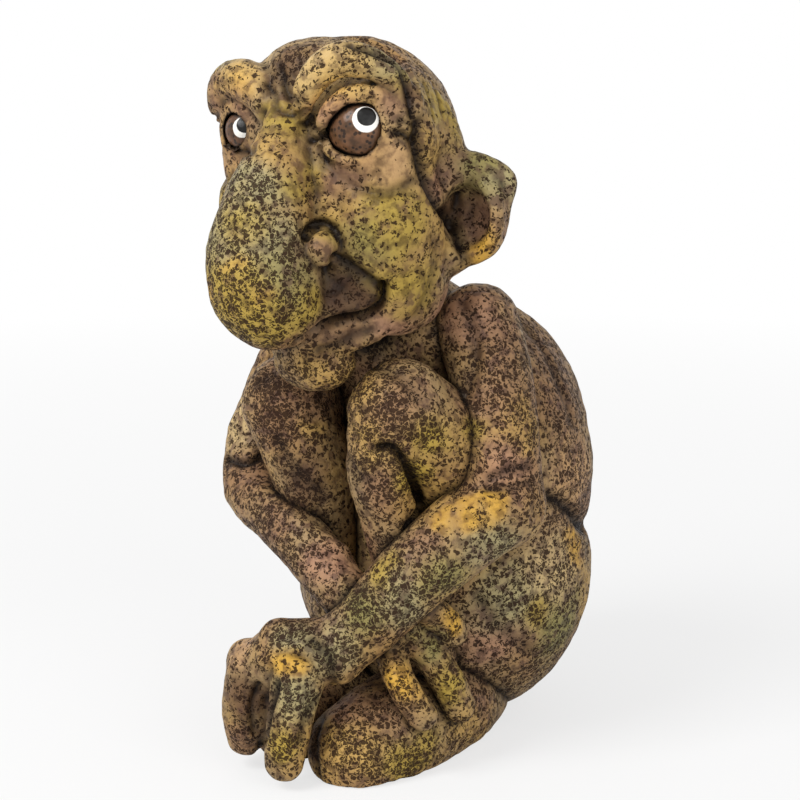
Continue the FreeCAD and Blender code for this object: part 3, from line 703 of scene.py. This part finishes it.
DABS = {
    "head": [
        (330, 46, 34, "sand", 0.4), (392, 62, 22, "grey", 0.5), (440, 104, 20, "mustard", 0.15),
        (285, 66, 16, "umber", 0.6), (348, 62, 24, "ochre", 0.35), (396, 84, 14, "mustard", 0.3),
        (412, 98, 10, "umber", 0.2), (336, 104, 16, "pink", 0.15), (385, 98, 14, "pink", 0.15),
        (360, 160, 16, "ochre", 0.1), (352, 178, 18, "pink", 0.15), (395, 170, 18, "tan", 0.2),
        (432, 150, 16, "ochre", 0.35), (436, 185, 14, "pink", 0.5), (446, 210, 12, "umber", 0.3),
        (385, 215, 34, "mustard", 0.3), (350, 215, 18, "ochre", 0.35), (365, 240, 20, "olive", 0.4),
        (430, 250, 20, "ochre", 0.3), (410, 290, 24, "mustard", 0.3), (395, 325, 16, "pink", 0.15),
        (440, 315, 14, "pink", 0.2), (290, 125, 12, "mustard", 0.2), (275, 150, 16, "ochre", 0.3),
        (262, 185, 22, "grey", 0.65), (300, 180, 16, "mustard", 0.3), (238, 220, 20, "mustard", 0.5),
        (262, 245, 26, "grey", 0.8), (240, 285, 22, "mustard", 0.65), (285, 280, 22, "olive", 0.7),
        (262, 300, 10, "gold", 0.5), (226, 262, 8, "gold", 0.4), (262, 325, 24, "mustard", 0.7),
        (305, 310, 16, "mustard", 0.4), (322, 248, 9, "brown", 0.3), (345, 280, 15, "wash", 0.45),
        (335, 305, 14, "wash", 0.4), (362, 298, 10, "wash", 0.3), (318, 340, 14, "brown", 0.15),
        (345, 332, 12, "brown", 0.1), (318, 370, 18, "ochre", 0.6), (480, 172, 18, "olive", 0.4),
        (505, 190, 12, "grey", 0.4), (482, 222, 14, "pink", 0.35), (468, 208, 9, "umber", 0.3),
        (478, 250, 12, "gold", 0.3), (240, 78, 18, "gold", 0.3), (222, 95, 12, "ochre", 0.4),
        (232, 150, 12, "pink", 0.2),
    ],
    "trunk": [
        (560, 400, 34, "brown", 0.6), (575, 470, 26, "tan", 0.55), (540, 350, 20, "brown", 0.5),
        (552, 570, 26, "sand", 0.55), (510, 600, 26, "grey", 0.6), (560, 630, 24, "olive", 0.6),
        (575, 545, 14, "gold", 0.4), (490, 640, 20, "pink", 0.5), (535, 615, 14, "mustard", 0.5),
    ],
    "left_arm": [
        (476, 310, 24, "pink", 0.4), (500, 345, 20, "brown", 0.6), (486, 400, 22, "brown", 0.7),
        (520, 420, 20, "ochre", 0.65), (474, 428, 9, "mustard", 0.5), (510, 465, 18, "pink", 0.45),
        (470, 510, 10, "gold", 0.15), (492, 500, 8, "gold", 0.15), (442, 523, 9, "gold", 0.25),
        (425, 545, 14, "brown", 0.6), (490, 545, 18, "grey", 0.75), (445, 580, 18, "olive", 0.8),
        (385, 572, 12, "mustard", 0.5), (400, 605, 18, "grey", 0.85), (360, 615, 18, "olive", 0.8),
        (330, 650, 18, "grey", 0.85), (285, 662, 11, "gold", 0.3), (290, 635, 14, "grey", 0.8),
        (240, 650, 12, "tan", 0.4), (300, 700, 16, "grey", 0.8), (283, 745, 14, "mustard", 0.8),
        (245, 700, 18, "umber", 0.5), (240, 740, 14, "brown", 0.6),
    ],
    "right_arm": [
        (240, 420, 24, "sand", 0.5), (245, 480, 20, "brown", 0.5), (275, 520, 18, "brown", 0.65),
        (330, 560, 18, "pink", 0.45), (300, 500, 12, "ochre", 0.5), (370, 560, 14, "tan", 0.4),
        (405, 685, 14, "gold", 0.45), (450, 690, 15, "mustard", 0.55), (430, 650, 12, "olive", 0.6),
        (450, 625, 10, "gold", 0.4),
    ],
    "left_leg": [
        (355, 385, 24, "ochre", 0.8), (400, 400, 20, "brown", 0.8), (430, 440, 14, "mustard", 0.8),
        (370, 440, 20, "ochre", 0.8), (385, 490, 16, "brown", 0.75), (345, 550, 18, "brown", 0.5),
        (410, 475, 12, "mustard", 0.8),
    ],
    "right_leg": [
        (280, 385, 20, "brown", 0.8), (272, 430, 20, "brown", 0.85), (305, 480, 20, "umber", 0.7),
        (320, 580, 18, "pink", 0.4), (310, 430, 10, "ochre", 0.7),
    ],
    "left_foot": [
        # The umber dab where the first finger meets the foot is the toe's dark brown and painted shadow between
        # them.
        (314, 745, 12, "umber", 0.6), (360, 745, 22, "ochre", 0.8), (385, 715, 20, "brown", 0.6),
        (410, 760, 20, "mustard", 0.8), (460, 725, 18, "ochre", 0.75), (350, 705, 14, "pink", 0.5),
        (480, 700, 12, "brown", 0.6),
    ],
    "right_foot": [(300, 700, 20, "brown", 0.6)],
}
MILLIMETRES_A_PIXEL = 0.216
PLACED = {}
for name, dabs in DABS.items():
    centres = cast(MASSES[name][0], [dab[:2] for dab in dabs])
    PLACED[name] = [(centre, MILLIMETRES_A_PIXEL * reach, linear(COLOURS[colour]), pits)
                    for centre, (_, _, reach, colour, pits) in zip(centres, dabs)]
PLACED["head"] += [(mirrored(centre), *rest) for centre, *rest in PLACED["head"]]
EVERYWHERE = [dab for dabs in PLACED.values() for dab in dabs]
print("dabs", len(EVERYWHERE))

# %% The mean of the dabs
# The ground's weight, and how far in millimetres places are moved at random, so that dabs get uneven edges.
FAINT, WANDER = 0.12, 2.5


def coat(points):
    """The paint's colour and how pitted it is: the mean of the dabs, each weighted by the bell curve of its
    distance over its reach, and of a faint ground that drifts between brown, ochre, olive and pink."""
    drift = 0.5 + 0.5 * np.clip(2 * lumps(points, 17, 21), -1, 1)[:, None]
    other = 0.5 + 0.5 * np.clip(2 * lumps(points, 11, 22), -1, 1)[:, None]
    ground = drift * linear(COLOURS["brown"]) + (1 - drift) * linear(COLOURS["ochre"])
    ground = other * ground + (1 - other) * (0.5 * linear(COLOURS["olive"]) + 0.5 * linear(COLOURS["pink"]))
    colour, grain, weight = FAINT * ground, FAINT * (0.3 + 0.35 * drift[:, 0]), np.full(len(points), FAINT)
    moved = points + WANDER * np.stack([lumps(points, 5, seed) for seed in (31, 32, 33)], -1)
    for centre, reach, paint, pits in EVERYWHERE:
        part = np.exp(-((moved - centre) ** 2).sum(1) / reach**2)
        colour += part[:, None] * paint
        grain += part * pits
        weight += part
    return colour / weight[:, None], grain / weight


print("paint on the tip of the nose", coat(cast(HEAD, [(267, 284)]))[0][0].round(3))

# %% [markdown]
# ## The pieces
# Each mass becomes one object that rides on the part's only body and replaces the solids that it dresses. The
# eyeballs are balls of their own, because they are painted and polished apart.

# %% The pieces as Blender objects


def as_object(name, points, faces, **notes):
    """Points in millimetres become a smooth mesh in metres. Each note is a value kept for each point."""
    mesh = bpy.data.meshes.new(name)
    mesh.from_pydata((points / 1000).tolist(), [], faces if isinstance(faces, list) else faces.tolist())
    mesh.polygons.foreach_set("use_smooth", np.ones(len(mesh.polygons), bool))
    for note, values in notes.items():
        if values.ndim == 2:
            layer = mesh.attributes.new(note, "FLOAT_COLOR", "POINT")
            layer.data.foreach_set("color", np.c_[values, np.ones(len(values))].ravel())
        else:
            mesh.attributes.new(note, "FLOAT", "POINT").data.foreach_set("value", values.astype(np.float32))
    piece = bpy.data.objects.new(name, mesh)
    bpy.context.scene.collection.objects.link(piece)
    return piece


HEAD_PAIRS = ("cheek", "jowl", "temple", "nostril", "brow", "eye_socket", "upper_lid", "lower_lid", "ear")
REPLACED = {
    "head": ["skull", "forehead", "face", "neck", "nose", "upper_lip", "lower_lip", "chin"]
    + [f"{side}_{part}" for side in ("left", "right") for part in HEAD_PAIRS],
    "trunk": ["rump", "back", "shoulders"],
    "left_leg": ["left_thigh", "left_shin"],
    "right_leg": ["right_thigh", "right_shin"],
    "left_foot": ["left_foot"],
    "right_foot": ["right_foot"],
    "left_arm": ["left_upper_arm", "left_forearm", "left_hand", "left_first_finger", "left_second_finger"],
    "right_arm": ["right_upper_arm", "right_forearm", "right_hand", "right_first_finger",
                  "right_second_finger", "right_third_finger"],
}
PIECES = {}
for name, (points, faces) in CLAY.items():
    paint, grain = coat(points)
    notes = {"paint": paint, "grain": grain, "shade": SHADE[name], "edge": EDGE[name]}
    piece = as_object("clay_" + name, points, faces, **notes)
    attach(piece, "root")
    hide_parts(*REPLACED[name])
    PIECES[name] = piece
print("pieces", len(PIECES))

# %% Eyeballs


def ball_grid(centre, radius, rings=48, sides=96):
    """A sphere. With a the angle from the top, a ring's height is radius cos a and its own radius is radius
    sin a."""
    latitude = np.linspace(0, math.pi, rings + 1)[1:-1, None]
    longitude = np.linspace(0, 2 * math.pi, sides, endpoint=False)[None]
    grid = np.stack([np.sin(latitude) * np.cos(longitude), np.sin(latitude) * np.sin(longitude),
                     np.cos(latitude) + 0 * longitude], -1).reshape(-1, 3)
    places = np.vstack([grid, [0, 0, 1], [0, 0, -1]]) * radius + centre
    row, column = np.meshgrid(np.arange(rings - 2), np.arange(sides), indexing="ij")
    after, here, below = (column + 1) % sides, row * sides, (row + 1) * sides
    four = np.stack([here + column, below + column, below + after, here + after], -1)
    top, bottom, last = len(grid), len(grid) + 1, (rings - 2) * sides
    around, following = np.arange(sides), (np.arange(sides) + 1) % sides
    three = [[top, int(a), int(b)] for a, b in zip(around, following)]
    three += [[bottom, int(last + b), int(last + a)] for a, b in zip(around, following)]
    return places, four.reshape(-1, 4).tolist() + three


# The white disc and the pupil on each ball, as the camera sees them: right of and above its middle, radius.
WHITES = {"left": (0.9, 1.0, 2.85), "right": (-0.9, -0.1, 2.3)}
PUPILS = {"left": (1.1, 1.6, 2.1), "right": (-0.4, 0.5, 1.8)}


def disc_distance(places, centre, radius, aside):
    """The straight distance from each place on a ball to a disc's middle on it, over the disc's radius."""
    across, up, disc_radius = aside
    toward = across * right + up * above - math.sqrt(radius**2 - across**2 - up**2) * ahead
    return np.linalg.norm(places - centre - toward, axis=1) / disc_radius


for side, radius in BALL_RADII.items():
    centre = BALLS[side] + SHIFT
    places, rings = ball_grid(centre, radius)
    white, pupil = (disc_distance(places, centre, radius, table[side]) for table in (WHITES, PUPILS))
    # Along the lids the ball darkens: dark paint and painted shadow under the lids.
    lid_line = np.clip((LID_REACH - clay_distance(LIDS[side], places)) / WASH_AND_SHADE_WIDTH, 0, 1)
    eye = as_object(side + "_eye", places, rings, white=white, pupil=pupil, lid_line=lid_line)
    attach(eye, "root")
    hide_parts(side + "_eyeball")
    PIECES[side + "_eye"] = eye
print("eyes", [name for name in PIECES if "eye" in name])

# %% [markdown]
# ## The resin's paint
# The ground coat is pinkish brown. Dark wash fills the pits, from a few specks on the cheeks to dense ones
# on the knees and hands. Two Voronoi patterns make them: a cell is a pit where its own random number is
# under the cover that the point's note gives, but for a ridge along its edge. The note on creases then
# darkens the coat with dark wash and painted shade, and the note on proud places brightens it.

# %% Node helpers


def join(tree, value, socket):
    """Link a socket's value, or set it if it is plain."""
    if isinstance(value, bpy.types.NodeSocket):
        tree.links.new(value, socket)
    else:
        socket.default_value = value


def node(tree, kind, inputs=(), **settings):
    """A node with its settings and inputs given by name."""
    made = tree.nodes.new("ShaderNode" + kind)
    for key, value in settings.items():
        setattr(made, key, value)
    for key, value in dict(inputs).items():
        join(tree, value, made.inputs[key])
    return made


def sums(tree, operation, *terms, clamp=False):
    """One step of arithmetic."""
    made = node(tree, "Math", operation=operation, use_clamp=clamp)
    for term, socket in zip(terms, made.inputs):
        join(tree, term, socket)
    return made.outputs[0]


def blend(tree, share, one, two, kind="MIX"):
    """A share of the way from one colour to another."""
    made = node(tree, "Mix", data_type="RGBA", blend_type=kind)
    for value, place in ((share, 0), (one, 6), (two, 7)):
        join(tree, value, made.inputs[place])
    return made.outputs[2]


def noise(tree, place, scale, detail=3.0):
    """Smooth noise round a half, with so many waves a metre."""
    return node(tree, "TexNoise", {"Vector": place, "Scale": scale, "Detail": detail}).outputs["Fac"]


def note(tree, name, output="Fac"):
    """What a point carries under a name."""
    return node(tree, "Attribute", attribute_name=name).outputs[output]


def over(tree, value, limit, soft):
    """Nought below a limit and one above it, over a soft width."""
    return sums(tree, "MULTIPLY_ADD", sums(tree, "SUBTRACT", value, limit), 1 / soft, 0.5, clamp=True)


def flat(code):
    """A colour code as a socket's value."""
    return (*linear(code), 1)


print("the dark wash as a socket's value", np.round(flat(COLOURS["wash"]), 3))

# %% The resin material


def pitted(tree, place, scale, cover, ridge):
    """Where there is a pit: in each cell whose own random number is under the cover, but for its ridge."""
    cell = {"Vector": place, "Scale": scale}
    inward = node(tree, "TexVoronoi", cell, feature="DISTANCE_TO_EDGE").outputs["Distance"]
    own = node(tree, "TexVoronoi", cell).outputs["Color"]
    chance = node(tree, "SeparateColor", {"Color": own}).outputs[0]
    return sums(tree, "MULTIPLY", over(tree, inward, ridge, 0.08), over(tree, cover, chance, 0.04))


def resin_paint():
    """Paint in two tones, bare in places and bright where proud, then pits, then creases darkened with dark
    wash and painted shade. A ripple bends the places first, so that no cell is a plain polygon."""
    look = bpy.data.materials.new("painted resin")
    look.use_nodes = True
    tree, surface = look.node_tree, look.node_tree.nodes["Principled BSDF"]
    place = node(tree, "TexCoord").outputs["Object"]
    ripple = node(tree, "TexNoise", {"Vector": place, "Scale": 900.0, "Detail": 3.0}).outputs["Color"]
    bend = {0: ripple, 1: (0.0022,) * 3, 2: place}
    bent = node(tree, "VectorMath", bend, operation="MULTIPLY_ADD").outputs[0]
    cloud, dry = noise(tree, place, 130.0), noise(tree, place, 480.0, 6.0)
    grain, shade, edge = (note(tree, name) for name in ("grain", "shade", "edge"))
    paint = note(tree, "paint", "Color")
    cover = sums(tree, "MULTIPLY_ADD", grain, 1.25, sums(tree, "SUBTRACT", cloud, 0.65))
    ridge = sums(tree, "MULTIPLY_ADD", cover, -0.07, 0.17)
    pits = sums(tree, "MAXIMUM", pitted(tree, bent, 850.0, cover, ridge),
                pitted(tree, bent, 1700.0, sums(tree, "MULTIPLY", cover, 0.6), ridge))
    pale = blend(tree, 1.0, paint, (1.24, 1.18, 1.06, 1), "MULTIPLY")
    deep = blend(tree, 1.0, paint, (0.6, 0.54, 0.5, 1), "MULTIPLY")
    coat_colour = blend(tree, over(tree, dry, 0.49, 0.22), deep, pale)
    bare = sums(tree, "MULTIPLY", over(tree, noise(tree, place, 170.0, 6.0), 0.54, 0.15), 0.4)
    coat_colour = blend(tree, bare, coat_colour, flat("745446"))
    proud = sums(tree, "MULTIPLY", sums(tree, "ADD", edge, grain), over(tree, dry, 0.47, 0.1), clamp=True)
    bright = blend(tree, 1.0, paint, (1.55, 1.46, 1.2, 1), "MULTIPLY")
    coat_colour = blend(tree, sums(tree, "MULTIPLY", proud, 0.6), coat_colour, bright)
    colour = blend(tree, sums(tree, "MULTIPLY", pits, 0.92), coat_colour, flat("2A180C"))
    # Creases, grooves, places where masses touch and the rims round the eyes go near-black: dark wash and
    # painted shade.
    colour = blend(tree, sums(tree, "MULTIPLY", shade, 0.96), colour, flat("120A06"))
    join(tree, colour, surface.inputs["Base Color"])
    join(tree, sums(tree, "MULTIPLY_ADD", pits, 0.3, 0.45), surface.inputs["Roughness"])
    surface.inputs["Specular IOR Level"].default_value = 0.15
    height = sums(tree, "MULTIPLY_ADD", pits, -1.0, sums(tree, "MULTIPLY", dry, 0.8))
    bump = node(tree, "Bump", {"Strength": 0.9, "Distance": 0.0007, "Height": height})
    join(tree, bump.outputs["Normal"], surface.inputs["Normal"])
    return look


RESIN = resin_paint()
print("the resin's paint has", len(RESIN.node_tree.nodes), "nodes")

# %% [markdown]
# ## The eyes' paint
# A ball is brown with darker specks. On it lie a white disc and a black pupil, painted by hand, so noise
# bends their edges. Where a lid lies over the ball, it darkens with dark wash and painted shadow under the lid.

# %% The eye material


def eye_paint():
    """The ball's brown, then the white disc, the pupil and the dark line along the lids, wash and painted
    shadow, each over the last.
    """
    look = bpy.data.materials.new("eye paint")
    look.use_nodes = True
    tree, surface = look.node_tree, look.node_tree.nodes["Principled BSDF"]
    place = node(tree, "TexCoord").outputs["Object"]
    specks = node(tree, "TexVoronoi", {"Vector": place, "Scale": 900.0}).outputs["Distance"]
    ball = blend(tree, over(tree, noise(tree, place, 380.0), 0.5, 0.3), flat("46301E"), flat("745036"))
    ball = blend(tree, sums(tree, "MULTIPLY", over(tree, 0.34, specks, 0.1), 0.85), ball, flat("1C120B"))
    uneven = sums(tree, "MULTIPLY_ADD", noise(tree, place, 500.0), 0.16, 0.92)
    white = over(tree, uneven, note(tree, "white"), 0.05)
    pupil = over(tree, uneven, note(tree, "pupil"), 0.06)
    colour = blend(tree, pupil, blend(tree, white, ball, flat("F4F1EA")), flat("0B0908"))
    # The line along the lids: dark paint and painted shadow.
    colour = blend(tree, note(tree, "lid_line"), colour, flat("0E0907"))
    join(tree, colour, surface.inputs["Base Color"])
    surface.inputs["Roughness"].default_value = 0.35
    surface.inputs["Specular IOR Level"].default_value = 0.3
    bump = node(tree, "Bump", {"Strength": 0.3, "Distance": 0.0003, "Height": specks})
    join(tree, bump.outputs["Normal"], surface.inputs["Normal"])
    return look


EYE = eye_paint()
for name, piece in PIECES.items():
    piece.data.materials.append(EYE if name.endswith("_eye") else RESIN)
print("materials", RESIN.name, "and", EYE.name)

# %% [markdown]
# ## Floor, light and camera
# The photograph is a cut-out on white, so where the camera sees them the sky is white and the floor glows
# white, a little less near the figure. The figure itself is lit by a broad lamp high on the left, a weaker
# one on the right and a pale sky.

# %% Floor and sky
floor_mesh = bpy.data.meshes.new("floor")
floor_mesh.from_pydata([(-3, -3, 0), (3, -3, 0), (3, 3, 0), (-3, 3, 0)], [], [(0, 1, 2, 3)])
floor = bpy.data.objects.new("floor", floor_mesh)
bpy.context.scene.collection.objects.link(floor)
floor_look = bpy.data.materials.new("pale floor")
floor_look.use_nodes = True
tree = floor_look.node_tree
shown = tree.nodes["Principled BSDF"]
shown.inputs["Base Color"].default_value = (0.86, 0.86, 0.86, 1)
shown.inputs["Roughness"].default_value = 0.9
place = node(tree, "TexCoord").outputs["Object"]
far = node(tree, "VectorMath", {0: place}, operation="LENGTH").outputs["Value"]
seen = node(tree, "LightPath").outputs["Is Camera Ray"]
lit = sums(tree, "MULTIPLY", seen, sums(tree, "MULTIPLY_ADD", over(tree, far, 0.4, 0.5), 0.3, 0.7))
glow = node(tree, "Emission", {"Strength": 1.0})
mixed = node(tree, "MixShader", {0: lit, 1: shown.outputs[0], 2: glow.outputs[0]})
tree.links.new(mixed.outputs[0], tree.nodes["Material Output"].inputs["Surface"])
floor.data.materials.append(floor_look)
sky = bpy.data.worlds.new("sky")
sky.use_nodes = True
bpy.context.scene.world = sky
path = node(sky.node_tree, "LightPath")
direct = sums(sky.node_tree, "MAXIMUM", path.outputs["Is Camera Ray"], path.outputs["Is Glossy Ray"])
backdrop = sky.node_tree.nodes["Background"]
backdrop.inputs["Color"].default_value = (1, 1, 1, 1)
join(sky.node_tree, sums(sky.node_tree, "MULTIPLY_ADD", direct, 0.5, 0.5), backdrop.inputs["Strength"])
print("floor and sky")

# %% Lamps


def lamp(name, place, aim, width, watts):
    """A square lamp at a place in metres, turned so that its face looks at the aim."""
    light = bpy.data.lights.new(name, "AREA")
    light.size = width
    light.energy = watts
    holder = bpy.data.objects.new(name, light)
    holder.location = place
    holder.rotation_euler = (Vector(aim) - Vector(place)).to_track_quat("-Z", "Y").to_euler()
    bpy.context.scene.collection.objects.link(holder)


CHEST = (0, 0, 0.09)
lamp("key", (-0.15, -0.75, 0.8), CHEST, 0.45, 7.5)
lamp("fill", (0.8, -0.3, 0.4), CHEST, 0.6, 2.5)

# %% Camera
view = bpy.data.cameras.new("camera")
view.lens, view.sensor_width = LENS, SENSOR
holder = bpy.data.objects.new("camera", view)
holder.location = (CAMERA_AT / 1000).tolist()
holder.rotation_euler = Vector((CAMERA_TO - CAMERA_AT).tolist()).to_track_quat("-Z", "Y").to_euler()
bpy.context.scene.collection.objects.link(holder)
bpy.context.scene.camera = holder
bpy.context.scene.view_settings.view_transform = "Standard"
print("camera at", (CAMERA_AT / 1000).round(3).tolist())
